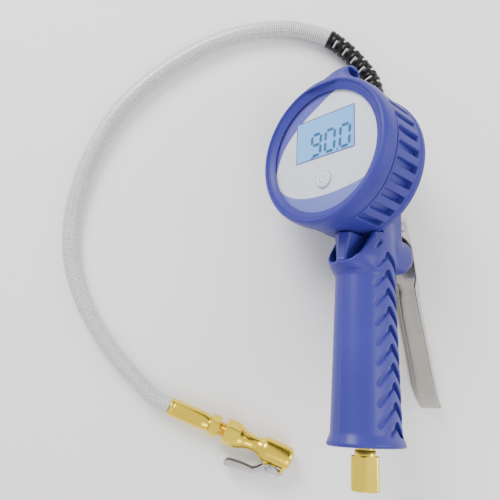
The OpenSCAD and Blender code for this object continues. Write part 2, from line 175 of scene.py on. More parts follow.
def moulded(name, col, rough=0.42, grain=1500, depth=0.00003, coat=0.0, spec=0.5, edge=None):
    """Moulded plastic or rubber: fine grain, faint colour drift and gloss drift; worn, paler edges."""
    m = Nodes(name)
    v = m.coords()
    g = m.noise(v, grain, 3)
    drift = m.noise(v, 26, 3)
    base = m.ramp(drift, [(0.25, shade(col, 0.93)), (0.75, shade(col, 1.07))])
    if edge:
        geo = m.n("ShaderNodeNewGeometry")
        w = m.range(geo.outputs["Pointiness"], 0.53, 0.62, 0, 0.5)
        base = m.n("ShaderNodeMixRGB", {"Fac": w, "Color1": base, "Color2": (*edge, 1)}).outputs[0]
    m.link(base, "Base Color")
    m.link(m.range(drift, 0.3, 0.7, rough - 0.05, rough + 0.06), "Roughness")
    m.bump(g, depth)
    m.set(IOR=1.46, Specular_IOR_Level=spec)
    m.coat(coat, 0.2)
    return m.m


def metal(name, col, rough=0.28, stretch=(1, 1, 1), scale=900, depth=0.000012, dark=0.82):
    """Turned, cast or brushed metal: fine lines or grain, faint tarnish and gloss drift."""
    m = Nodes(name)
    v = m.coords(stretch)
    g = m.noise(v, scale, 4, 0.6)
    t = m.noise(m.coords(), 20, 4)
    m.link(m.ramp(t, [(0.3, shade(col, dark)), (0.62, col)]), "Base Color")
    lines = m.range(g, 0.3, 0.7, rough - 0.06, rough + 0.06)
    m.link(m.math("ADD", lines, m.range(t, 0.3, 0.7, 0.05, -0.03)), "Roughness")
    m.bump(g, depth)
    m.set(Metallic=1.0)
    return m.m


BLUE = (0.030, 0.029, 0.245)
mat_boot = moulded("boot_rubber_blue", BLUE, 0.44, 1300, 0.00003, spec=0.32)
mat_grip = moulded("housing_plastic_blue", BLUE, 0.38, 1700, 0.000035, spec=0.36, edge=(0.05, 0.07, 0.42))
mat_black = moulded("black_plastic", (0.018, 0.018, 0.020), 0.45)
mat_relief = moulded("relief_rubber_black", (0.004, 0.004, 0.0045), 0.30, 1100, 0.00003, spec=0.32)
mat_seal = moulded("seal_rubber", (0.02, 0.02, 0.02), 0.6)
mat_board = moulded("board_green", (0.02, 0.13, 0.05), 0.35, coat=0.4)
mat_button = moulded("button_grey", (0.66, 0.69, 0.76), 0.3, coat=0.3)
mat_brass = metal("brass_turned", (0.92, 0.655, 0.055), 0.22, scale=1400, dark=0.9)
mat_brass_hex = metal("brass_milled", (0.93, 0.69, 0.07), 0.25, scale=1100, dark=0.9)
mat_lever = metal("lever_steel_brushed", (0.52, 0.495, 0.46), 0.30, (70, 6, 70), 30, 0.00002, 0.9)
mat_clip = metal("clip_steel", (0.62, 0.61, 0.62), 0.22, scale=1200, dark=0.92)
mat_steel = metal("machined_steel", (0.58, 0.585, 0.6), 0.3, scale=1000)
mat_dark_steel = metal("spring_steel", (0.4, 0.4, 0.42), 0.35, scale=1500)
mat_plate = metal("plate_steel", (0.52, 0.53, 0.55), 0.4, (8, 60, 8), 40, 0.00001)
mat_cast = metal("cast_zinc", (0.5, 0.505, 0.52), 0.5, scale=600, depth=0.00003)


def dial_material():
    """White print with a bluish cast."""
    m = Nodes("dial_print")
    v = m.coords()
    fine = m.noise(v, 2400, 2)
    drift = m.noise(v, 14, 2)
    m.link(m.ramp(drift, [(0.3, (0.70, 0.74, 0.86)), (0.7, (0.78, 0.81, 0.90))]), "Base Color")
    m.link(m.range(fine, 0.3, 0.7, 0.36, 0.46), "Roughness")
    m.bump(fine, 0.000006)
    return m.m


def print_material(name, c1, c2):
    """Printed ink that drifts between two near colours."""
    m = Nodes(name)
    v = m.coords()
    m.link(m.ramp(m.noise(v, 18, 2), [(0.3, c1), (0.7, c2)]), "Base Color")
    m.link(m.range(m.noise(v, 2400, 2), 0.3, 0.7, 0.34, 0.44), "Roughness")
    return m.m


mat_dial = dial_material()
mat_band_top = print_material("print_violet", (0.075, 0.070, 0.42), (0.11, 0.10, 0.48))
mat_band_low = print_material("print_lavender", (0.15, 0.18, 0.55), (0.19, 0.22, 0.60))
mat_frame_line = print_material("print_navy", (0.03, 0.05, 0.20), (0.05, 0.07, 0.26))
mat_grey_line = print_material("print_grey", (0.20, 0.21, 0.26), (0.26, 0.27, 0.32))


def lcd_material():
    """Blue backlight, paler at the display's lower edge than at its upper edge."""
    lower_edge, upper_edge = 0.062, 0.105
    m = Nodes("lcd_backlight")
    v = m.coords()
    height = m.n("ShaderNodeSeparateXYZ", {"Vector": v}).outputs["Z"]
    g = m.range(height, lower_edge, upper_edge, 0.0, 1.0)
    f = m.math("ADD", g, m.range(m.noise(v, 60, 3), 0.3, 0.7, -0.08, 0.08))
    c = m.ramp(f, [(0.0, (0.17, 0.44, 0.86)), (0.55, (0.14, 0.41, 0.88)), (1.0, (0.06, 0.27, 0.80))])
    m.link(c, "Base Color")
    m.link(c, "Emission Color")
    m.set(Roughness=0.25, Emission_Strength=0.3)
    m.bump(m.noise(v, 3000, 1), 0.000004)
    return m.m


mat_lcd = lcd_material()
mat_digit = print_material("lcd_digit", (0.01, 0.10, 0.24), (0.015, 0.13, 0.28))


def lens_material():
    """Clear lens: a faint dark film, so that the dial stays readable."""
    m = Nodes("lens_clear")
    v = m.coords()
    m.link(m.range(m.noise(v, 40, 3), 0.3, 0.7, 0.03, 0.07), "Roughness")
    m.set(Base_Color=(0.10, 0.11, 0.14, 1), Alpha=0.05, IOR=1.49)
    m.m.blend_method = "BLEND"
    return m.m


mat_lens = lens_material()


# braid of the hose: strands round it, and the length in mm of one repeat
STRANDS = 16
BRAID_PITCH = 3.4


def braid_material():
    """Silver braid under a clear cover: two families of strands crossing, seen through gloss."""
    m = Nodes("hose_braid")
    sep = m.n("ShaderNodeSeparateXYZ", {"Vector": m.coords(uv=True)})
    along = m.math("MULTIPLY", sep.outputs["X"], 1 / BRAID_PITCH)
    turn = m.math("MULTIPLY", sep.outputs["Y"], STRANDS)
    a = m.math("MULTIPLY", m.math("ADD", turn, along), 2 * math.pi)
    b = m.math("MULTIPLY", m.math("SUBTRACT", turn, along), 2 * math.pi)
    over = m.math("MULTIPLY", m.math("SINE", a), m.math("SINE", b))
    fine = m.math("SINE", m.math("MULTIPLY", a, 5.0))
    h = m.math("ADD", over, m.math("MULTIPLY", fine, 0.25))
    n = m.noise(m.coords(), 700, 3)
    f = m.math("ADD", m.range(h, -1.2, 1.2, 0, 1), m.range(n, 0.3, 0.7, -0.12, 0.12))
    greys = [(0.05, (0.10, 0.10, 0.11)), (0.4, (0.47, 0.47, 0.47)), (0.78, (0.86, 0.86, 0.85))]
    m.link(m.ramp(f, greys), "Base Color")
    m.link(m.range(f, 0, 1, 0.5, 0.32), "Roughness")
    m.bump(f, 0.00012, 0.7)
    m.set(Metallic=0.15)
    m.coat(0.55, 0.12)
    return m.m


mat_hose = braid_material()


# ------------------------------------------------------------------ mesh building
def obj(name, verts, faces, mat, body="tool", slot=None, sharp=40, smooth=True):
    """Piece from vertices in metres, riding on a body; edges over `sharp` degrees stay crisp."""
    me = bpy.data.meshes.new(name)
    corners = [tuple(v) for v in np.asarray(verts, float)]
    me.from_pydata(corners, [], [tuple(int(i) for i in f) for f in faces])
    me.validate()
    me.materials.append(mat)
    if smooth:
        me.shade_smooth()
        if sharp < 180:
            me.set_sharp_from_angle(angle=math.radians(sharp))
    me.update()
    o = bpy.data.objects.new(name, me)
    bpy.context.scene.collection.objects.link(o)
    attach(o, body)
    return o


def grid_faces(n, m, wrap=True, base=0):
    """Quads of an n by m grid of vertices, joined round in the second direction if wrap."""
    i, j = np.meshgrid(np.arange(n - 1), np.arange(m if wrap else m - 1), indexing="ij")
    j2 = (j + 1) % m
    q = np.stack([i * m + j, i * m + j2, (i + 1) * m + j2, (i + 1) * m + j], -1).reshape(-1, 4)
    return (q + base).tolist()


def end_caps(n, m):
    """The two end faces of an n by m grid that is joined round."""
    return [list(range(m))[::-1], [(n - 1) * m + j for j in range(m)]]


def ring_joint(n, m):
    """Quads from the last row of an n by m grid back to its first."""
    j = np.arange(m)
    last = (n - 1) * m
    return np.stack([last + j, last + (j + 1) % m, (j + 1) % m, j], -1).tolist()


def skin(name, place, rings, angles, mat, **kw):
    """Solid over rings (u, radius or radii) along an axis; place maps (u, a, b) to the frame."""
    R = np.array([np.broadcast_to(r, len(angles)) for _, r in rings], float)
    u = np.array([[u] * len(angles) for u, _ in rings], float)
    P = np.stack([u, R * np.cos(angles), R * np.sin(angles)], -1)
    faces = grid_faces(*R.shape) + end_caps(*R.shape)
    return obj(name, place(P.reshape(-1, 3)), faces, mat, **kw)


def rounded(points, r, k=4, closed=False):
    """Polyline with its corners rounded to about r."""
    P = [np.array(p, float) for p in points]
    n = len(P)
    out = []
    for i in range(n):
        if not closed and i in (0, n - 1):
            out.append(P[i])
            continue
        a, b, c = P[(i - 1) % n], P[i], P[(i + 1) % n]
        d1, d2 = np.linalg.norm(a - b), np.linalg.norm(c - b)
        t = min(r, 0.45 * d1, 0.45 * d2)
        p, q = b + (a - b) * t / d1, b + (c - b) * t / d2
        for s in np.linspace(0, 1, k + 1):
            out.append((1 - s) ** 2 * p + 2 * s * (1 - s) * b + s * s * q)
    return np.array(out)


def lathe(name, place, pts, mat, n=96, **kw):
    """Surface of revolution from (u, r) points; place maps (u, a, b) to the frame."""
    pts = np.asarray(pts, float)
    th = np.linspace(0, 2 * math.pi, n, endpoint=False)
    along, r = np.repeat(pts[:, :1], n, 1), pts[:, 1:]
    P = np.stack([along, r * np.cos(th), r * np.sin(th)], -1)
    return obj(name, place(P.reshape(-1, 3)), grid_faces(len(pts), n), mat, **kw)


def along_y(P):
    """Axis along the tool's y: (u, a, b) is (y, z, x)."""
    return T(np.stack([P[:, 2], P[:, 0], P[:, 1]], -1))


def along_chuck(P):
    """Axis along the chuck: (u, a, b) is (s, -q, z)."""
    return C(np.stack([P[:, 0], -P[:, 1], P[:, 2]], -1))


def corner_angles(turn=0.0):
    """Angles for a hexagon: fine next to its corners."""
    base = np.concatenate([[-0.6, 0.6], np.linspace(3, 57, 12)])
    return np.sort(np.radians(np.concatenate([base + 60 * k for k in range(6)]) + turn))


def hexagon(af, angles, turn=0.0):
    """Radii of a hexagon with slightly broken corners."""
    t = (np.degrees(angles) - turn) % 60 - 30
    r = af / 2 / np.cos(np.radians(t))
    return np.minimum(r, af / math.sqrt(3) - 0.25)


def hex_rings(at, s0, s1, af, angles, turn, off):
    """Rings along a hexagon from s0 to s1, its corners turned off by `off` towards both ends."""
    flats = hexagon(af, angles, turn)
    return [(s, np.minimum(flats, af / math.sqrt(3) - off + min(s - s0, s1 - s) * 1.5)) for s in at]


# ------------------------------------------------------------------ implicit surfaces
def smin(a, b, k):
    """Union of two fields, blended over k."""
    h = np.clip(0.5 + 0.5 * (b - a) / k, 0, 1)
    return b * (1 - h) + a * h - k * h * (1 - h)


def smax(a, b, k):
    """Intersection of two fields, blended over k."""
    return -smin(-a, -b, k)


def step(a, b, v):
    """Smooth rise from 0 at a to 1 at b."""
    t = np.clip((v - a) / (b - a), 0, 1)
    return t * t * (3 - 2 * t)


def rbox(x, y, z, lo, hi, r):
    """Rounded box."""
    c = [(lo[i] + hi[i]) / 2 for i in range(3)]
    h = [(hi[i] - lo[i]) / 2 - r for i in range(3)]
    q = [np.abs(v - c[i]) - h[i] for i, v in enumerate((x, y, z))]
    out = np.sqrt(sum(np.maximum(v, 0) ** 2 for v in q))
    return out + np.minimum(np.maximum(np.maximum(q[0], q[1]), q[2]), 0) - r


def segment(u, v, a, b):
    """Distance to a segment in a plane, and the place along it."""
    du, dv = b[0] - a[0], b[1] - a[1]
    t = np.clip(((u - a[0]) * du + (v - a[1]) * dv) / (du * du + dv * dv), 0, 1)
    return np.hypot(u - a[0] - t * du, v - a[1] - t * dv), t


CELL_CORNERS = [(i, j, k) for i in (0, 1) for j in (0, 1) for k in (0, 1)]


def net_vertices(V, cells):
    """Mean of the crossings on the edges of each cell, in cell units."""
    total = np.zeros((len(cells), 3))
    count = np.zeros(len(cells))
    for a in CELL_CORNERS:
        for d in range(3):
            if a[d]:
                continue
            b = list(a)
            b[d] = 1
            va = V[tuple((cells + a).T)]
            vb = V[tuple((cells + b).T)]
            crossed = (va < 0) != (vb < 0)
            t = np.where(crossed, va / np.where(va == vb, 1, va - vb), 0)
            p = np.tile(np.array(a, float), (len(cells), 1))
            p[:, d] += t
            total[crossed] += p[crossed]
            count[crossed] += 1
    return total / count[:, None]


def net_faces(inside, index):
    """One quad for each grid edge that crosses the surface, joining the four cells round it."""
    faces = []
    n = inside.shape
    for d in range(3):
        e, g = (d + 1) % 3, (d + 2) % 3
        near = [slice(1, n[i] - 1) for i in range(3)]
        near[d] = slice(0, n[d] - 1)
        far = list(near)
        far[d] = slice(1, n[d])
        A, B = inside[tuple(near)], inside[tuple(far)]
        q = np.argwhere(A != B)
        if not len(q):
            continue
        outward = A[tuple(q.T)]
        q += [0 if i == d else 1 for i in range(3)]
        quad = []
        for de, dg in ((-1, -1), (0, -1), (0, 0), (-1, 0)):
            cell = q.copy()
            cell[:, e] += de
            cell[:, g] += dg
            quad.append(index[tuple(cell.T)])
        F = np.stack(quad, -1)
        F[~outward] = F[~outward][:, ::-1]
        faces.append(F)
    return np.concatenate(faces)


def pull(f, P, reach, eps=0.03):
    """Moves points on to f = 0 along its slope, by at most `reach` a pass."""
    for _ in range(3):
        v = f(P[:, 0], P[:, 1], P[:, 2])
        slope = np.stack([(f(*(P + eps * e).T) - f(*(P - eps * e).T)) / (2 * eps) for e in np.eye(3)], -1)
        move = -(v / np.maximum((slope ** 2).sum(1), 0.2))[:, None] * slope
        length = np.linalg.norm(move, axis=1)
        P = P + move * np.minimum(1, reach / np.maximum(length, 1e-9))[:, None]
    return P


def iso(f, lo, hi, h):
    """Surface nets of f = 0 on a grid of pitch h, with its vertices pulled on to the surface."""
    ax = [np.arange(lo[i], hi[i] + h, h) for i in range(3)]
    V = f(ax[0][:, None, None], ax[1][None, :, None], ax[2][None, None, :])
    V = np.ascontiguousarray(np.broadcast_to(V, [len(a) for a in ax]))
    inside = V < 0
    nx, ny, nz = (n - 1 for n in V.shape)
    count = np.zeros((nx, ny, nz), np.int8)
    for i, j, k in CELL_CORNERS:
        count += inside[i:nx + i, j:ny + j, k:nz + k]
    cells = np.argwhere((count > 0) & (count < 8))
    index = -np.ones(count.shape, np.int64)
    index[tuple(cells.T)] = np.arange(len(cells))
    P = np.stack([ax[i][cells[:, i]] for i in range(3)], -1) + net_vertices(V, cells) * h
    return pull(f, P, 0.45 * h), net_faces(inside, index).tolist()


# ------------------------------------------------------------------ boot
LENS_TOP = 47.3
RIB_STEP = 12
RIBS = 360 // RIB_STEP
# angles within one rib's step at which its pocket begins and ends
POCKET_FROM, POCKET_TO = 3.1, 8.9
boot_profile = rounded([
    (46.5, 3.3), (50.6, 3.3), (52.4, 4.6), (52.4, 8.3), (51.7, 9.2), (51.9, 36.9), (50.9, 37.5), (50.9, 38.9),
    (52.9, 39.6), (52.6, 45.5), (52.1, 48.6), (51.0, 50.9), (49.6, 51.6), (48.9, 51.2), (48.5, 50.1),
    (47.9, 49.6), (47.3, 49.7), (46.3, 49.2), (44.4, 48.2), (43.3, 47.8), (43.3, 47.38), (46.5, 47.38),
    (46.5, 40), (46.5, 20)], 0.7, 3, closed=True)


def densify(pts, d):
    """Closed outline with a point about every d."""
    out = []
    n = len(pts)
    for i in range(n):
        a, b = pts[i], pts[(i + 1) % n]
        k = max(1, int(np.linalg.norm(b - a) / d))
        out += [a + (b - a) * t / k for t in range(k)]
    return np.array(out)


def rib_angles():
    """Angles round the boot, close together at the sides of each pocket."""
    one_step = np.concatenate([
        [0, 1.2, 2.4],
        np.linspace(POCKET_FROM - 0.35, POCKET_FROM + 0.9, 5),
        np.linspace(POCKET_FROM + 1.6, POCKET_TO - 1.6, 5),
        np.linspace(POCKET_TO - 0.9, POCKET_TO + 0.35, 5),
        [9.9, 11]])
    return np.concatenate([one_step + RIB_STEP * k for k in range(RIBS)])


def pocket_depth(r, z, deg):
    """How far the pockets between the ribs go in: none behind the loop or over the neck."""
    local = deg % RIB_STEP
    middle = RIB_STEP / 2
    begins = step(POCKET_FROM - 0.2, POCKET_FROM + 0.55, local)
    ends = step(POCKET_TO - 0.55, POCKET_TO + 0.2, local)
    across = begins * (1 - ends)
    centre = np.round((deg - middle) / RIB_STEP) * RIB_STEP + middle
    near_loop = np.abs((centre - 90 + 180) % 360 - 180) < 14
    near_neck = np.abs((centre - 270 + 180) % 360 - 180) < 14
    across = np.where(near_loop | near_neck, 0, across)
    behind = step(10.9, 12.2, z)
    before = 1 - step(34.2, 36.2, z + 0.21 * np.abs(local - middle) ** 1.3)
    depth = 2.2 + 1.9 * step(34, 12, z)
    return np.where(r > 51, depth * across * behind * before, 0)


def boot_shell():
    pts = densify(boot_profile, 1.25)
    deg = rib_angles()[None, :]
    th = np.radians(deg)
    r, z = pts[:, :1], pts[:, 1:]
    R = r - pocket_depth(r, z, deg)
    P = np.stack([R * np.cos(th), R * np.sin(th), np.broadcast_to(z, R.shape)], -1)
    faces = grid_faces(*R.shape) + ring_joint(*R.shape)
    faces = [f[::-1] for f in faces]
    return obj("boot_shell", T(P.reshape(-1, 3)), faces, mat_boot, slot="boot_rubber", sharp=46)


boot = boot_shell()


def boot_solid(x, y, z):
    """Plain outside of the boot, a little under its skin."""
    r = np.sqrt(x * x + y * y)
    heights = [3.3, 4.6, 38, 39.6, 45.5, 48.6, 50.9, 51.6]
    radii = [50.6, 52.2, 51.7, 52.7, 52.5, 51.9, 50.9, 49.4]
    return smax(r - np.interp(z, heights, radii) + 0.15, smax(z - 51.2, 3.6 - z, 0.5), 1.0)


def hood(x, y, z):
    """Hanging loop: a fairing that rises from the lip to a rounded top."""
    front = (y - 52) * 0.69 + (z - 48.2) * 0.724 + 0.013 * x * x
    back = (y - 52) * 0.33 - (z - 8.5) * 0.944
    wedge = smax(smax(smax(front, back, 4.0), y - 75.0, 6.0), 46 - y, 1)
    side = np.abs(x) - 7.8 - 9 * (np.clip(64 - y, 0, 16) / 13) ** 1.5
    return smax(wedge, side, 2.6)


def hood_piece(x, y, z):
    """The hood blended into the boot, less the boot's inside and the loop's eye."""
    b = boot_solid(x, y, z)
    v = smin(hood(x, y, z), b, 4.0)
    v = smax(v, -(b + 1.6), 0.3)
    eye = np.hypot(y - 67.6, np.maximum(np.abs(z - 22.8) - 3.2, 0)) - 3.05
    v = smax(v, -eye, 0.8)
    v = smax(v, 47 - y, 0.5)
    return smax(v, np.abs(x) - 24, 0.5)


hood_verts, hood_faces = iso(hood_piece, (-25, 46, 2), (25, 82, 54), 0.7)
loop_piece = obj("hanging_loop", T(hood_verts), hood_faces, mat_boot, slot="boot_rubber", sharp=60)
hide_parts("gauge_boot")
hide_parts("gauge_boot")


# ------------------------------------------------------------------ handle
def ellipse(x, z, a, b):
    """About the distance to an ellipse of half-axes a and b."""
    k0 = np.sqrt((x / a) ** 2 + (z / b) ** 2)
    k1 = np.sqrt((x / a ** 2) ** 2 + (z / b ** 2) ** 2)
    return k0 * (k0 - 1) / np.maximum(k1, 1e-6)


# how far the collar stands out, along the grip
COLLAR_AT = [-80.5, -78.6, -77, -75, -72.5, -69, -65, -60, -52, -40]
COLLAR_OUT = [0, 1.4, 4.0, 6.6, 8.6, 9.8, 9.2, 6.5, 3.0, 0]
GRIP_TOP, GRIP_FOOT = -80, -190.9


def stem_of_grip(x, y, z):
    """Oval grip that widens to its foot, with flatter flanks and a fine seam down the front."""
    t = np.clip((GRIP_TOP - y) / 109.5, -0.3, 1.05)
    flare = step(-181.5, GRIP_FOOT + 0.1, y)
    collar = np.interp(y, COLLAR_AT, COLLAR_OUT)
    front = step(-12, 10, z)
    a = 18.4 + 2.6 * t + 2.6 * flare + 0.18 * collar
    b = 24.3 + 4.0 * t + 2.2 * flare + collar * front
    e = ellipse(x, z + 1.5, a, b)
    # the flanks carry the chevrons and meet the front in a soft crease
    lean = 0.222 - 0.13 * step(-84, -66, y)
    flank = np.abs(x) * 0.975 + (z - 4) * lean - (a * 0.985)
    seam = 0.35 * np.exp(-(x / 1.6) ** 2) * step(-78, -84, y) * step(0, 10, z)
    return smax(e, flank, 1.6) - seam


def handle_solid(x, y, z):
    """Grip, collar, neck, front rib and valve boss, before any pocket or bore."""
    body = smax(stem_of_grip(x, y, z), smax(y + 40.0, GRIP_FOOT - y, 0.8), 2.4)
    body = smax(body, smin(-16 - z, y + 66, 2), 2)
    # pocket behind the collar's rim, open towards the head
    half, deep = 12.9, 15.2
    u = np.abs(x) / half
    w = np.maximum(-58 - y, 0) / deep
    pocket = smax(((u ** 3 + w ** 3) ** (1 / 3) - 1) * half, 5.0 - z, 1.5)
    wall = (z - 17.8 + 0.80 * (y + 60)) * 0.78
    wall = smin(wall, y + 68, 2)
    body = smax(body, smin(wall, z - 3, 1), 1.8)
    body = smax(body, -pocket, 1.6)
    block = rbox(x, y, z, (-16, -64, -27), (16, 38, 1.5), 5)
    body = smin(body, block, 2.0)
    # front rib of the neck, a wedge that tapers towards the collar
    half = 6.6 - 2.6 * step(-50, -70, y)
    section = smax(np.abs(x) - half, z - 29.2 + 0.55 * np.abs(x), 1.2)
    length = smax(smax(y + 44, -74 - y, 1), -6 - z, 1)
    body = smin(body, smax(section, length, 1.0), 2.2)
    # valve boss at the back
    boss = rbox(x, y, z, (-17.2, -71.2, -44.9), (17.2, -45.8, -6), 12)
    return smin(body, boss, 2.0)


def band(z, y, a, b, w):
    """Distance to a straight groove in the side plane, and the places across it (positive on its
    lower side) and along it."""
    dz, dy = b[0] - a[0], b[1] - a[1]
    across = ((z - a[0]) * dy - (y - a[1]) * dz) / math.hypot(dz, dy)
    if dz < 0:
        across = -across
    d, t = segment(z, y, a, b)
    return d - w, across, t


CHEVRONS = 11
CHEVRON_STEP = 12.35
FOOT_RIM = -184.6


def chevron_arms(k):
    """Front and rear arms of chevron k as (start, end, half width), each point (z, y)."""
    if k == 0:
        return [((6.4, -57.4), (11.4, -61.8), 1.4), ((5.6, -56.2), (8.6, -52.4), 1.3)], []
    y, z = -50.6 - CHEVRON_STEP * k, 1.2 - 0.62 * k
    end = 10.4 if k < CHEVRONS - 1 else 4.0
    front = ((z + 1.6, y - 4.0), (end, y - 4.0 - 0.86 * (end - z - 1.6)), 1.95)
    rear = ((z - 1.0, y - 2.9), (-16.6 - 0.3 * k, y - 14.6), 2.6)
    return [front], [rear]


def chevrons(x, y, z, body):
    """V-shaped pockets down the flanks: a shallow front arm with a sloping floor and a deep rear arm."""
    cut = np.inf
    for k in range(CHEVRONS):
        front, rear = chevron_arms(k)
        for a, b, w in front:
            d, across, t = band(z, y, a, b, w)
            floor = (2.0 - 0.9 * t) * np.clip(0.5 + across / (2 * w), 0.12, 1)
            cut = np.minimum(cut, smax(d, -(body + floor), 0.3))
        for a, b, w in rear:
            cut = np.minimum(cut, smax(band(z, y, a, b, w)[0], -(body + 3.6), 0.3))
    return smax(smax(cut, 5 - np.abs(x), 0.5), FOOT_RIM - y, 0.8)


def handle(x, y, z):
    """The handle less its chevrons, the head's seat, the bores and the lever's slot."""
    body = handle_solid(x, y, z)
    v = smax(body, -chevrons(x, y, z, body), 0.45)
    head = smax(np.hypot(x, y) - 52.9, 2.6 - z, 0.3)
    inlet_bore = smax(np.hypot(x, z) - 7.4, y + 180, 0.3)
    hose_bore = smax(np.hypot(x, z + 17) - 8.3, 24 - y, 0.3)
    valve_bore = smax(np.hypot(x, y + 58) - 8.8, z - 3.3, 0.3)
    lever_slot = rbox(x, y, z, (-6.6, -45, -36), (6.6, -25, -21), 0.4)
    v = smax(v, -head, 0.5)
    for hollow in (inlet_bore, hose_bore, valve_bore, lever_slot):
        v = smax(v, -hollow, 0.4)
    return v


grip_verts, grip_faces = iso(handle, (-28, -193, -48), (28, 41, 36), 0.72)
grip = obj("handle_shell", T(grip_verts), grip_faces, mat_grip, slot="housing_blue", sharp=75)
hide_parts("grip_housing")


# ------------------------------------------------------------------ lever
def loft_sheet(name, place, sections, thick, mat, body, slot, offset, bevel):
    """Bent sheet from equal-length section polylines, thickened to one side by offset -1 or 1."""
    S = np.array(sections, float)
    faces = grid_faces(*S.shape[:2], wrap=False)
    o = obj(name, place(S.reshape(-1, 3)), faces, mat, body=body, slot=slot, sharp=50)
    sheet = o.modifiers.new("sheet", "SOLIDIFY")
    sheet.thickness = thick / 1000
    sheet.offset = offset
    sheet.use_even_offset = True
    edges = o.modifiers.new("edges", "BEVEL")
    edges.width = bevel / 1000
    edges.segments = 2
    edges.limit_method = "ANGLE"
    edges.angle_limit = math.radians(50)
    return o


def channel(web, edge, half, r, cheek, share=0.6):
    """Channel section as (across, height) points: edge, rounded corner, web, rounded corner, edge."""
    r = min(r, abs(edge - web) * share)
    inward = math.copysign(1, edge - web)
    corner = web + inward * r
    sides = []
    for s in (-1, 1):
        side = [(s * half, edge)] + [(s * half, edge + (corner - edge) * t) for t in cheek]
        for a in np.radians(np.linspace(0, 90, 6)[1:]):
            side.append((s * (half - r + r * math.cos(a)), corner - inward * r * math.sin(a)))
        side.append((s * (half - r) * 0.5, web))
        sides.append(side)
    return sides[0] + [(0, web)] + sides[1][::-1]


LEVER_HALF = 9.8
PIN_Y, PIN_Z = -35, -35.5
CHEEK_R = 8.4
# the web's height along the lever, with the step round the valve boss
WEB_AT = [40, 47, 66, 71, 77, 84, 95, 122, 146]
WEB_Z = [-45.6, -49.8, -54.6, -55.1, -58.2, -58.9, -61.4, -70.4, -77.8]
# (y, edge of the cheeks) behind the pin, and (y, web, edge, half width) near the tip
LEVER_EDGE = [
    (-43.0, -35.8), (-43.8, -40.6), (-45.2, -44.2), (-47.5, -46.6), (-52, -48.3), (-58, -49.8), (-64, -51.2),
    (-69, -52.2), (-71, -52.3), (-72.5, -52.2), (-74, -51.6), (-75.5, -51.2), (-77, -50.6), (-79, -50.6),
    (-84, -51.9), (-95, -55.2), (-108, -60), (-122, -64.8), (-134, -68.6), (-146, -72.6)]
LEVER_TIP = [
    (-151, -79.6, -75.3, 9.7), (-155, -81.2, -78.0, 9.5), (-158.2, -82.9, -80.6, 9.2),
    (-160.8, -84.6, -82.9, 8.9), (-162.8, -86.2, -84.9, 8.5)]


def lever_stations():
    """(y, web, edge, half width, corner radius) along the lever: cheeks round the pin, arm and tip."""
    out = []
    for y in (-27.6, -28.2, -29.2, -30.6, -32.4, -34.4, -36.6, -38.8, -40.6, -42.0):
        web = np.interp(y, [-47, -40, -29], [-49.6, -45.6, -42.6])
        edge = PIN_Z + math.sqrt(max(0.0, CHEEK_R ** 2 - (y - PIN_Y) ** 2))
        out.append((y, web, edge, LEVER_HALF, 1.8))
    out += [(y, np.interp(-y, WEB_AT, WEB_Z), edge, LEVER_HALF, 2.2) for y, edge in LEVER_EDGE]
    out += [(*row, 1.6) for row in LEVER_TIP]
    return out


def lever_section(y, web, edge, half, r):
    return [(a, y, h) for a, h in channel(web, edge, half, r, np.linspace(0.25, 1, 4))]


sections = [lever_section(*row) for row in lever_stations()]
lever = loft_sheet("lever_channel", T, sections, 1.2, mat_lever, "trigger", "lever_steel", -1, 0.25)
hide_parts("trigger_lever")


def pin_head(side):
    """Domed end of the lever's pin over a cheek; side is -1 or 1."""
    dome = [(0, 0), (0.02, 1.0), (0, 2.2), (-0.25, 3.2), (-0.75, 3.9), (-1.35, 4.1)]
    shank = [(-1.35, 2.3), (-14, 2.2), (-14, 0)]
    pts = rounded([(LEVER_HALF + 1.55 + u, r) for u, r in dome + shank], 0.3, 2)

    def place(P):
        return T(np.stack([side * P[:, 0], P[:, 1] + PIN_Y, P[:, 2] + PIN_Z], -1))
    name = "pin_head_left" if side < 0 else "pin_head_right"
    return lathe(name, place, pts[::side], mat_dark_steel, n=48, slot="stem_steel")


for head in [pin_head(-1), pin_head(1)]:
    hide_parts("lever_pin")

# ------------------------------------------------------------------ dial, display, button
DIAL_TOP = 45.8
LAYER = 0.07


def flat(name, outline, z, mat, slot="dial_print", body="tool"):
    """Thin printed area on the dial, from an outline in the dial's plane."""
    points = [Vector((p[0], p[1], 0)) for p in outline]
    V = T(np.array([(v.x, v.y, z) for v in points]))
    facing = direction((0, 0, 1))
    faces = []
    for t in tessellate_polygon([points]):
        a, b, c = (Vector(V[i]) for i in t)
        faces.append(t if (b - a).cross(c - a).dot(facing) > 0 else t[::-1])
    return obj(name, V, faces, mat, slot=slot, body=body, smooth=False)


def arc(r, a0, a1, n=40, c=(0, 0)):
    return [(c[0] + r * math.cos(a), c[1] + r * math.sin(a)) for a in np.radians(np.linspace(a0, a1, n))]


def catmull(p0, p1, p2, p3, t):
    """Point at t of a smooth curve from p1 to p2."""
    return 0.5 * (2 * p1 + (p2 - p0) * t + (2 * p0 - 5 * p1 + 4 * p2 - p3) * t * t
                  + (3 * p1 - p0 - 3 * p2 + p3) * t ** 3)


def spline(pts, n=8):
    """Smooth curve through points in a plane."""
    P = [np.array(p, float) for p in pts]
    P = [2 * P[0] - P[1]] + P + [2 * P[-1] - P[-2]]
    out = []
    for i in range(1, len(P) - 2):
        out += [catmull(*P[i - 1:i + 3], t) for t in np.linspace(0, 1, n, endpoint=False)]
    out.append(P[-2])
    return [tuple(v) for v in out]


def bearing(p):
    return math.degrees(math.atan2(p[1], p[0])) % 360


def print_band(name, pts, mat):
    """Coloured field between a curve and the dial's rim, counter-clockwise from the curve's start."""
    rim = 45.6
    curve = spline(pts)
    outline = arc(rim, bearing(curve[0]), bearing(curve[-1]), 60) + curve[::-1]
    flat(name, outline, DIAL_TOP + LAYER, mat)


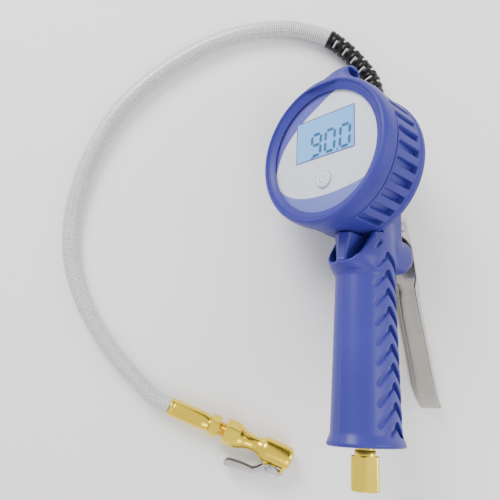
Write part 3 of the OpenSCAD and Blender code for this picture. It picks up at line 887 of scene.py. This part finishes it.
print_band("print_band_upper", [
    (11, 44.3), (2, 40.2), (-8, 34.6), (-18, 28.8), (-27, 22), (-35, 13.8), (-40.5, 4.5),
    (-44.2, -7)], mat_band_top)
print_band("print_band_lower", [
    (-42.6, -16), (-38.4, -20.5), (-32, -25.2), (-23, -28.9), (-11, -31), (4, -31.2), (19, -29.4),
    (32, -26.6), (39.6, -22.6)], mat_band_low)

# the display's glass: half width, half height, height of its middle on the dial, half width of its frame line
GLASS_W, GLASS_H, GLASS_Y = 24.7, 15.2, 12.0
FRAME_LINE = 0.35
DIGIT_Z = DIAL_TOP + 4 * LAYER


def rect(x0, y0, x1, y1):
    return [(x0, y0), (x1, y0), (x1, y1), (x0, y1)]


def glass(name, grow, layer, mat):
    w, h = GLASS_W + grow, GLASS_H + grow
    flat(name, rect(-w, GLASS_Y - h, w, GLASS_Y + h), DIAL_TOP + layer * LAYER, mat, slot="lcd_glass")


glass("lcd_frame", FRAME_LINE, 2, mat_frame_line)
glass("lcd_screen", -FRAME_LINE, 3, mat_lcd)

# ends of the seven segments in a unit square, and the segments that are lit
SEGMENTS = {
    "a": ((0, 1), (1, 1)), "b": ((1, 0.5), (1, 1)), "c": ((1, 0), (1, 0.5)), "d": ((0, 0), (1, 0)),
    "e": ((0, 0), (0, 0.5)), "f": ((0, 0.5), (0, 1)), "g": ((0, 0.5), (1, 0.5))}
LIT = {"9": "abcdfg", "0": "abcdef"}
DIGIT_W, DIGIT_H, DIGIT_Y = 7.6, 15.4, -0.9


def digit(tag, figure, x0):
    """Seven-segment figure, slightly slanted, its segments parted by small gaps."""
    thick, gap, slant = 1.15, 0.55, 0.05
    size = np.array((DIGIT_W, DIGIT_H))
    V, F = [], []
    for segment_name in LIT[figure]:
        a, b = (np.array((x0, DIGIT_Y)) + size * end for end in SEGMENTS[segment_name])
        d = (b - a) / np.linalg.norm(b - a)
        n = np.array((-d[1], d[0]))
        a, b = a + d * gap, b - d * gap
        ring = [a, a + (d + n) * thick, b + (n - d) * thick, b, b - (d + n) * thick, a + (d - n) * thick]
        F.append([len(V) + i for i in range(6)][::-1])
        V += [(p[0] + slant * (p[1] - DIGIT_Y), p[1], DIGIT_Z) for p in ring]
    return obj(f"lcd_digit_{tag}", T(np.array(V)), F, mat_digit, slot="lcd_glass", smooth=False)


digit("tens", "9", -11.2)
digit("units", "0", 0.6)
digit("tenths", "0", 13.0)
flat("lcd_point", rect(10.2, -2.0, 11.6, -0.6), DIGIT_Z, mat_digit, slot="lcd_glass")
flat("lcd_unit_mark", rect(-12.5, -2.6, -8.2, -1.9), DIGIT_Z, mat_digit, slot="lcd_glass")

# push button: a low dome with a generic power mark
BUTTON_Y, BUTTON_R = -20.3, 6.0
BUTTON_TOP = LENS_TOP + 0.5
MARK_Z = BUTTON_TOP + 0.02


def at_button(P):
    """Axis along the tool's z, at the button: (u, a, b) is (z, x, y)."""
    return T(np.stack([P[:, 1], P[:, 2] + BUTTON_Y, P[:, 0]], -1))


button_pts = rounded([
    (BUTTON_TOP, 0), (BUTTON_TOP, BUTTON_R - 0.5), (BUTTON_TOP - 0.35, BUTTON_R), (44.3, BUTTON_R),
    (44.3, 0)], 0.25, 3)
button = lathe("push_button", at_button, button_pts, mat_button, n=64, body="button", slot="button_grey")
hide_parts("power_button")


def mark(name, outline):
    flat(name, outline, MARK_Z, mat_grey_line, slot="button_grey", body="button")


def mark_ring(name, r0, r1, a0, a1, y):
    mark(name, arc(r1, a0, a1, 48, (0, y)) + arc(r0, a1, a0, 48, (0, y)))


mark_ring("mark_rim_left", 5.05, 5.3, 91, 269, BUTTON_Y)
mark_ring("mark_rim_right", 5.05, 5.3, -89, 89, BUTTON_Y)
mark_ring("mark_power_ring", 2.3, 2.8, 125, 415, BUTTON_Y - 0.2)
mark("mark_power_bar", rect(-0.27, BUTTON_Y + 0.3, 0.27, BUTTON_Y + 3.2))


# ------------------------------------------------------------------ hose and strain relief
def in_frame_mm(p):
    """Tool axes to the shared frame, both in mm."""
    return list(T(np.array(p, float)) * 1000)


# the hose's route in mm in the shared frame, from its fitting in the neck to the chuck
ROUTE = [
    in_frame_mm((0, 45, -17)), in_frame_mm((0, 56, -17)),
    [13, 131, 10.2], [11.6, 141, 8.2], [8, 149, 7.3], [1.6, 156.6, 7.3], [-6.4, 165, 7.3],
    [-15.4, 172.4, 7.3], [-24.4, 178, 7.2], [-33.4, 181.4, 6.9], [-48, 184.4, 6.6], [-64, 184.8, 6.4],
    [-87, 181.4, 6.4], [-113, 172, 6.4], [-140, 156.4, 6.4], [-165, 136.4, 6.4], [-186, 113, 6.4],
    [-201.6, 86.4, 6.4], [-212, 57.4, 6.4], [-217.2, 29.4, 6.4], [-217.2, 5.4, 6.4], [-211.6, -19.6, 6.4],
    [-199, -46.6, 6.6], [-181, -71.6, 7.2], [-159.8, -93.2, 8], [-146.2, -105.4, 8.7], [-133.7, -111.6, 9]]
# the point of the route at which the strain relief ends
RELIEF_END = 8


def route_curve(end, per=12):
    """Smooth curve along the route from its start to point number `end`."""
    points = [np.array(p, float) for p in ROUTE]
    last = len(points) - 1
    out = []
    for i in range(end):
        four = [points[min(max(i + k, 0), last)] for k in (-1, 0, 1, 2)]
        out += [catmull(*four, t) for t in np.linspace(0, 1, per, endpoint=False)]
    out.append(points[end])
    return np.array(out)


def resample(pts, d):
    """Points about d apart along a polyline, and their lengths along it."""
    s = np.concatenate([[0], np.cumsum(np.linalg.norm(np.diff(pts, axis=0), axis=1))])
    n = int(round(s[-1] / d))
    q = np.linspace(0, s[-1], n + 1)
    return np.stack([np.interp(q, s, pts[:, i]) for i in range(3)], -1), q


def tube(name, pts, arclen, radius, n, mat, **kw):
    """Tube along pts with radius(length, angle) and UVs of length in mm and turn."""
    d = np.gradient(pts, axis=0)
    d /= np.linalg.norm(d, axis=1)[:, None]
    u = np.cross([0, 0, 1.0], d)
    u /= np.linalg.norm(u, axis=1)[:, None]
    v = np.cross(d, u)
    th = np.linspace(0, 2 * math.pi, n, endpoint=False)
    r = np.broadcast_to(radius(arclen[:, None], th[None, :]), (len(pts), n))
    around = np.cos(th)[None, :, None] * u[:, None, :] + np.sin(th)[None, :, None] * v[:, None, :]
    P = pts[:, None, :] + r[..., None] * around
    faces = grid_faces(*r.shape) + end_caps(*r.shape)
    o = obj(name, P.reshape(-1, 3) / 1000, faces, mat, sharp=180, **kw)
    unroll(o, arclen, n)
    return o


def unroll(o, arclen, n):
    """UVs of a tube with n points round it: length in mm, and turn without a seam."""
    mesh = o.data
    ids = np.zeros(len(mesh.loops), int)
    mesh.loops.foreach_get("vertex_index", ids)
    row, turn = ids // n, (ids % n).astype(float)
    totals = np.zeros(len(mesh.polygons), int)
    mesh.polygons.foreach_get("loop_total", totals)
    face = np.repeat(np.arange(len(totals)), totals)
    widest = np.zeros(len(totals))
    np.maximum.at(widest, face, turn)
    turn = np.where((turn == 0) & (widest[face] == n - 1), n, turn)
    uv = np.stack([arclen[row], turn / n], -1)
    mesh.uv_layers.new(name="UVMap").data.foreach_set("uv", uv.ravel())


HOSE_R = 6.1
full, arclen = resample(route_curve(len(ROUTE) - 1), 0.55)


def hose_radius(s, th):
    """Slightly knobbly where the strands of the two families cross."""
    relief_of_strands = 0.10
    along = 2 * math.pi * s / BRAID_PITCH
    a, b = STRANDS * th + along, STRANDS * th - along
    return HOSE_R - relief_of_strands * (1 - np.sin(a) * np.sin(b))


hose = tube("hose_tube", full, arclen, hose_radius, 64, mat_hose, slot="hose_braid")
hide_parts("hose")
relief_pts, relief_len = resample(route_curve(RELIEF_END), 0.3)


def relief_radius(s, th):
    """Ridged sleeve with plain ends; windows open through it between ridges, on alternate sides."""
    pitch = 4.9
    end = relief_len[-1]
    k = s / pitch
    phase = k - np.floor(k)
    ridge = np.exp(-((phase - 0.5) / 0.15) ** 2)
    even = (np.floor(k + 0.5) % 2) == 0
    gap = np.minimum(phase, 1 - phase) * pitch
    side = np.where(even, np.abs(np.sin(th + 0.6)), np.abs(np.cos(th + 0.6)))
    window = (1 - step(0.6, 0.95, gap)) * step(0.80, 0.88, side)
    window = np.where((s < 7) | (s > end - 3.2), 0, window)
    r = 6.45 + 0.52 * ridge
    r = np.where(s > end - 2.6, 6.9, r)
    r = np.where(s < 6.5, 6.95 - 0.02 * s, r)
    return r - 0.62 * window


relief = tube("relief_sleeve", relief_pts, relief_len, relief_radius, 96, mat_relief,
              slot="relief_rubber")
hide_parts("strain_relief")

# ------------------------------------------------------------------ chuck
CHUCK_END = 98.4
ferrule_pts = rounded([
    (0.1, 0), (0.1, 6.2), (0.7, 6.75), (2.2, 6.8), (2.6, 6.55), (3.4, 6.55), (3.8, 6.8), (26.8, 6.8),
    (28.2, 6.6), (30.4, 6.1), (32.0, 5.6), (32.8, 5.4), (32.8, 0)], 0.4, 3)
ferrule = lathe("ferrule_turned", along_chuck, ferrule_pts, mat_brass, n=96, slot="brass")
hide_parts("hose_ferrule")


def hex_bar(name, s0, s1, af, chamfer):
    """Brass hexagon from s0 to s1 along the chuck."""
    edge = [0, 0.18, 0.4, 0.65, chamfer, chamfer + 0.4]
    at = [s0 + e for e in edge] + [(s0 + s1) / 2] + [s1 - e for e in edge[::-1]]
    angles = corner_angles()
    rings = hex_rings(at, s0, s1, af, angles, 0, 1.15)
    return skin(name, along_chuck, rings, angles, mat_brass_hex, sharp=28, slot="brass")


nut = hex_bar("nut_milled", 32.9, 40.3, 14.8, 0.9)
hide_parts("hose_nut")


def thread(r, s0, s1, pitch, deep):
    """Outline of a threaded stretch, as fine rings."""
    out = []
    for k in range(int((s1 - s0) / pitch + 1e-6)):
        s = s0 + pitch * k
        out += [(s, r - deep), (s + pitch * 0.35, r), (s + pitch * 0.6, r), (s + pitch, r - deep)]
    return out


chuck_hex = hex_bar("chuck_hexagon", 45.2, 56.2, 17.6, 0.8)
tail_pts = [(40.35, 0), (40.35, 4.3)] + thread(5.0, 40.5, 44.6, 0.8, 0.45) + [(45.3, 4.4), (45.3, 0)]
tail = lathe("chuck_tail", along_chuck, tail_pts, mat_brass, n=72, slot="brass", sharp=30)
barrel_pts = rounded([
    (56.0, 0), (56.0, 8.7), (56.9, 8.5), (59.0, 7.9), (61.5, 6.75), (64.2, 5.8), (67.5, 5.3), (70.5, 5.3),
    (72.8, 5.9), (74.6, 7.0), (76.0, 8.1), (77.6, 8.55), (78.4, 8.7), (93.0, 8.7), (95.6, 8.7), (97.6, 8.0),
    (CHUCK_END, 7.5), (CHUCK_END, 4.6), (98.0, 4.2), (89.4, 4.2), (89.4, 3.4), (85.4, 3.4),
    (85.4, 0)], 0.9, 5)


def cut_slot(o, s0, q0, half, deep):
    """Opens the jaw's slot in the barrel's mouth."""
    V = C(np.array([(s, q, z) for s in (s0, CHUCK_END + 2) for q in (q0, q0 + deep) for z in (-half, half)]))
    F = [(0, 1, 3, 2), (4, 6, 7, 5), (0, 4, 5, 1), (2, 3, 7, 6), (0, 2, 6, 4), (1, 5, 7, 3)]
    block = bpy.data.meshes.new("cutter")
    block.from_pydata([tuple(v) for v in V], [], F)
    cutter = bpy.data.objects.new("cutter", block)
    bpy.context.scene.collection.objects.link(cutter)
    cut = o.modifiers.new("slot", "BOOLEAN")
    cut.operation = "DIFFERENCE"
    cut.object = cutter
    cut.solver = "EXACT"
    bpy.context.view_layer.update()
    depsgraph = bpy.context.evaluated_depsgraph_get()
    result = bpy.data.meshes.new_from_object(o.evaluated_get(depsgraph))
    o.modifiers.clear()
    o.data = result
    bpy.data.objects.remove(cutter)
    bpy.data.meshes.remove(block)


barrel = lathe("chuck_barrel", along_chuck, barrel_pts, mat_brass, n=96, slot="brass", sharp=35)
cut_slot(barrel, 93.6, 3.0, 2.4, 7.0)


def prism(name, outline, half, chamfer, **kw):
    """Flat brass piece with broken edges, from an outline in the chuck's plane."""
    P = np.asarray(outline, float)
    before, after = P - np.roll(P, 1, 0), np.roll(P, -1, 0) - P
    out = np.stack([before[:, 1] + after[:, 1], -(before[:, 0] + after[:, 0])], -1)
    out /= np.maximum(np.linalg.norm(out, axis=1)[:, None], 1e-9)
    if ((P - P.mean(0)) * out).sum() < 0:
        out = -out
    rows = []
    for z, inset in ((-half, chamfer), (-half + chamfer, 0), (half - chamfer, 0), (half, chamfer)):
        rows.append(np.concatenate([P - out * inset, np.full((len(P), 1), z)], 1))
    following = np.roll(P, -1, 0)
    F = grid_faces(4, len(P)) + end_caps(4, len(P))
    if np.sum(P[:, 0] * following[:, 1] - following[:, 0] * P[:, 1]) < 0:
        F = [f[::-1] for f in F]
    return obj(name, C(np.concatenate(rows)), F, mat_brass_hex, sharp=40, slot="brass", **kw)


lug_outline = rounded([
    (80.4, 6.5), (80.6, 11.5), (82.4, 14.2), (87.6, 14.2), (89.4, 11.5), (89.6, 6.5)], 1.4, 4, closed=True)
lug = prism("chuck_lug", lug_outline, 2.8, 0.3)
for piece in (chuck_hex, tail, barrel, lug):
    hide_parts("chuck_body")

# clip: bent sheet with two cheeks, from its thumb end over the kink to its nose
CLIP_HALF = 4.6
CLIP_PIN_S, CLIP_PIN_Q = 85, 11
CLIP_AT = [
    53.8, 54.6, 56.2, 59, 62.5, 66, 69.5, 72.6, 74.8, 76.4, 77.6, 78.8, 80.2, 81.6, 83.2, 85, 86.8, 88.6,
    90.4, 92.2, 94, 95.4, 96.3]
BACK_S = [53.8, 56, 60, 65, 70, 76, 86, 96.4]
BACK_Q = [22.4, 22.6, 22.1, 21.3, 20.6, 19.8, 17.8, 15.2]
EDGE_S = [53.8, 54.6, 56.2, 65, 71, 75, 77.6, 80.2, 82.5, 84.5, 86.5, 89, 91, 94, 96.3]
EDGE_Q = [20.6, 18.4, 17.4, 16.4, 16.3, 16.6, 14.4, 11.2, 9.4, 8.7, 8.6, 9.0, 9.7, 11.2, 12.6]


def clip_section(s):
    back, edge = np.interp(s, BACK_S, BACK_Q), np.interp(s, EDGE_S, EDGE_Q)
    return [(s, q, z) for z, q in channel(back, edge, CLIP_HALF, 1.5, (0.33, 0.66, 1.0), 0.55)]


clip_sections = [clip_section(s) for s in CLIP_AT]
clip = loft_sheet("clip_channel", C, clip_sections, 1.0, mat_clip, "clip", "clip_steel", 1, 0.2)
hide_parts("chuck_clip")


def rivet(side):
    """Domed end of the clip's pin; side is -1 (low) or 1 (high)."""
    dome = [(5.9, 0), (5.85, 1.4), (5.5, 2.3), (5.0, 2.6), (4.75, 2.6)]
    pts = rounded(dome + [(4.75, 1.6), (0, 1.6), (0, 0)], 0.25, 2)

    def place(P):
        return C(np.stack([P[:, 1] + CLIP_PIN_S, P[:, 2] + CLIP_PIN_Q, side * P[:, 0]], -1))
    name = "clip_rivet_low" if side < 0 else "clip_rivet_high"
    return lathe(name, place, pts[::-side], mat_dark_steel, n=40, slot="clip_steel")


rivets = [rivet(-1), rivet(1)]
for piece in rivets:
    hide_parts("clip_pin")
jaw_outline = [
    (94.2, 5.2), (94.2, 14.6), (96.8, 14.6), (96.8, 5.6), (96.3, 4.9), (95.7, 5.5), (95.2, 4.9), (94.7, 5.5)]
jaw = prism("jaw_toothed", jaw_outline, 2.0, 0.2, body="clip")
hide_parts("clip_jaw")

# ------------------------------------------------------------------ inlet
HEX_LOW, HEX_TOP = -217.7, -196.2
INLET_AF = 17.5


def inlet_bore():
    """(y, r) from the foot inwards: countersink, thread and air way."""
    out = [(HEX_LOW, 6.6), (HEX_LOW + 0.9, 5.75)]
    for k in range(9):
        y = HEX_LOW + 1.2 + 1.35 * k
        out += [(y, 5.72), (y + 0.45, 5.3), (y + 0.65, 5.3), (y + 1.1, 5.72)]
    return out + [(HEX_LOW + 13.8, 5.6), (HEX_LOW + 13.9, 4.0), (HEX_LOW + 18, 4.0)]


def inlet_rings(angles):
    """One skin: out of the bore, up along the hexagon and up the neck into the grip."""
    edge = [0, 0.2, 0.45, 0.7, 0.95, 1.4]
    at = [HEX_LOW + e for e in edge] + [-207] + [HEX_TOP - e for e in edge[::-1]]
    neck = [(HEX_TOP, 7.2), (-193.6, 7.0), (-192.6, 6.4), (-190.6, 6.4), (-189.5, 7.0), (-179.2, 7.0)]
    return inlet_bore()[::-1] + hex_rings(at, HEX_LOW, HEX_TOP, INLET_AF, angles, 30, 1.2) + neck


inlet_angles = corner_angles(30)
inlet = skin("inlet_milled", along_y, inlet_rings(inlet_angles), inlet_angles, mat_brass_hex,
             sharp=28, slot="brass")
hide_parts("inlet_fitting")

# ------------------------------------------------------------------ carried-over nodes
KEEP = {
    "gauge_case": mat_black, "rear_plate": mat_plate, "rear_screws": mat_steel, "battery_door": mat_black,
    "coin_cell": mat_steel, "circuit_board": mat_board, "button_switch": mat_black, "lcd_module": mat_lcd,
    "dial_plate": mat_dial, "face_lens": mat_lens, "pressure_sensor": mat_steel, "sensor_tube": mat_brass,
    "valve_body": mat_cast, "valve_plug": mat_brass, "valve_seal": mat_seal, "valve_stem": mat_steel,
    "valve_spring": mat_dark_steel, "air_tube": mat_cast, "inlet_screen": mat_dark_steel,
    "hose_fitting": mat_brass_hex, "chuck_seal": mat_seal, "chuck_core": mat_steel,
    "clip_spring": mat_dark_steel,
}
for node, mat in KEEP.items():
    mesh = NODES[node].data
    mesh.materials.clear()
    mesh.materials.append(mat)


# ------------------------------------------------------------------ stage
def floor_material():
    m = Nodes("pale_floor")
    n = m.noise(m.coords(), 3, 3)
    m.link(m.ramp(n, [(0.3, (0.93, 0.93, 0.93)), (0.7, (0.95, 0.95, 0.95))]), "Base Color")
    m.link(m.range(n, 0.3, 0.7, 0.75, 0.82), "Roughness")
    return m.m


floor_corners = [(*p, 0) for p in rect(-6, -6, 6, 6)]
floor_mesh = bpy.data.meshes.new("floor")
floor_mesh.from_pydata(floor_corners, [], [(0, 1, 2, 3)])
floor_mesh.materials.append(floor_material())
floor = bpy.data.objects.new("floor", floor_mesh)
# just under the object, so that the two never share a plane
floor.location.z = -0.0002
bpy.context.scene.collection.objects.link(floor)

world = bpy.data.worlds.new("studio")
world.use_nodes = True
background = world.node_tree.nodes["Background"].inputs
background["Color"].default_value = (1, 1, 1, 1)
background["Strength"].default_value = 1.1
bpy.context.scene.world = world


def area_light(name, at, size, power):
    """Round lamp that faces the middle of the object."""
    lamp = bpy.data.lights.new(name, "AREA")
    lamp.shape = "DISK"
    lamp.size = size
    lamp.energy = power
    o = bpy.data.objects.new(name, lamp)
    o.location = at
    o.rotation_euler = (Vector((0, 0, 0.03)) - Vector(at)).to_track_quat("-Z", "Y").to_euler()
    bpy.context.scene.collection.objects.link(o)


area_light("key", (-0.55, 0.85, 0.75), 0.6, 15)
area_light("fill", (0.3, -0.9, 1.0), 0.8, 5)
area_light("side", (0.95, 0.1, 0.6), 0.5, 4)
